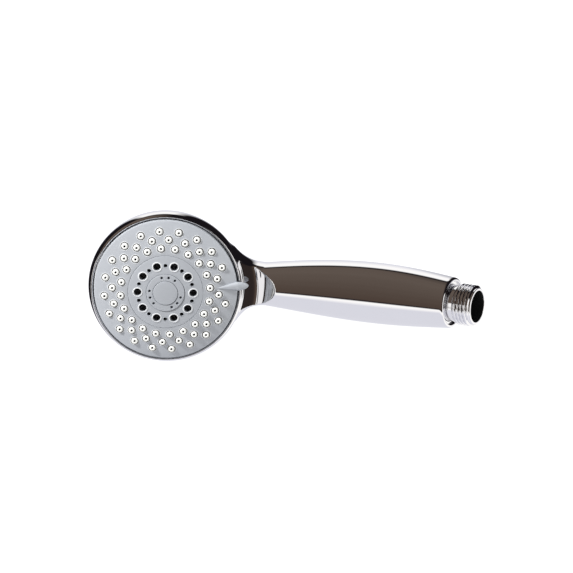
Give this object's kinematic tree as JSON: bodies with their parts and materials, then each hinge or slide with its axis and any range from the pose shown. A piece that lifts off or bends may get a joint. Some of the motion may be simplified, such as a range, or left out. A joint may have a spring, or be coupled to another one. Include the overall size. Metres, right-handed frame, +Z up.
{
  "type": "handheld shower head",
  "caption": "Chromed handheld shower head with a round three-way spray face, a selector lever and a threaded hose inlet.",
  "frame": {"origin": "centre of the hose inlet's end face, where the hose's washer seats", "axes": "+X along the object from the head to the hose inlet, +Z up on the spray side as the object lies on its back, +Y across; the spray face's normal leans 14 degrees from +Z towards +X"},
  "size_m": [0.2057, 0.0806, 0.0433],
  "materials": {
    "chrome_plate": "bright chromium plate, polished",
    "satin_grey": "satin silver-grey moulded plastic",
    "white_silicone": "matt white silicone",
    "black_plastic": "matt black plastic",
    "inner_plastic": "natural acetal",
    "turbine_plastic": "blue acetal",
    "seal_rubber": "black rubber",
    "steel": "stainless steel"
  },
  "bodies": {
    "handset": {"body_shell": "chrome_plate", "inlet_connector": "chrome_plate", "connector_o_ring": "seal_rubber", "inlet_filter": "steel", "flow_restrictor": "inner_plastic", "water_tube": "inner_plastic", "port_carrier": "inner_plastic", "spindle_o_ring": "seal_rubber", "port_seal": "seal_rubber", "seal_spring": "steel", "retaining_screw": "steel", "retaining_washer": "steel", "carrier_screws": "steel", "detent_spring": "steel"},
    "spray_face": {"face_plate": "satin_grey", "nozzle_mat": "white_silicone", "mist_ring": "satin_grey", "aerator_insert": "black_plastic", "massage_disc": "satin_grey", "centre_cap": "satin_grey", "distributor": "inner_plastic", "chamber_gasket": "seal_rubber", "rotor_plate": "inner_plastic", "plate_screws": "steel"},
    "turbine": {"turbine_wheel": "turbine_plastic"},
    "detent": {"detent_ball": "steel"}
  },
  "joints": [
    {"name": "spray_selector", "type": "hinge", "parent": "handset", "child": "spray_face", "pos_m": [-0.16059, 0, 0.00646], "axis": [0.2419, 0, 0.9703], "range_deg": [-30, 30]},
    {"name": "turbine_spin", "type": "hinge", "parent": "spray_face", "child": "turbine", "pos_m": [-0.16059, 0, 0.00646], "axis": [0.2419, 0, 0.9703], "continuous": true},
    {"name": "detent_travel", "type": "slide", "parent": "handset", "child": "detent", "axis": [0.2419, 0, 0.9703], "range_m": [0, 0.0005], "stiffness_N_per_m": 200, "springref_m": 0.002, "deforming": ["detent_spring"]}
  ]
}
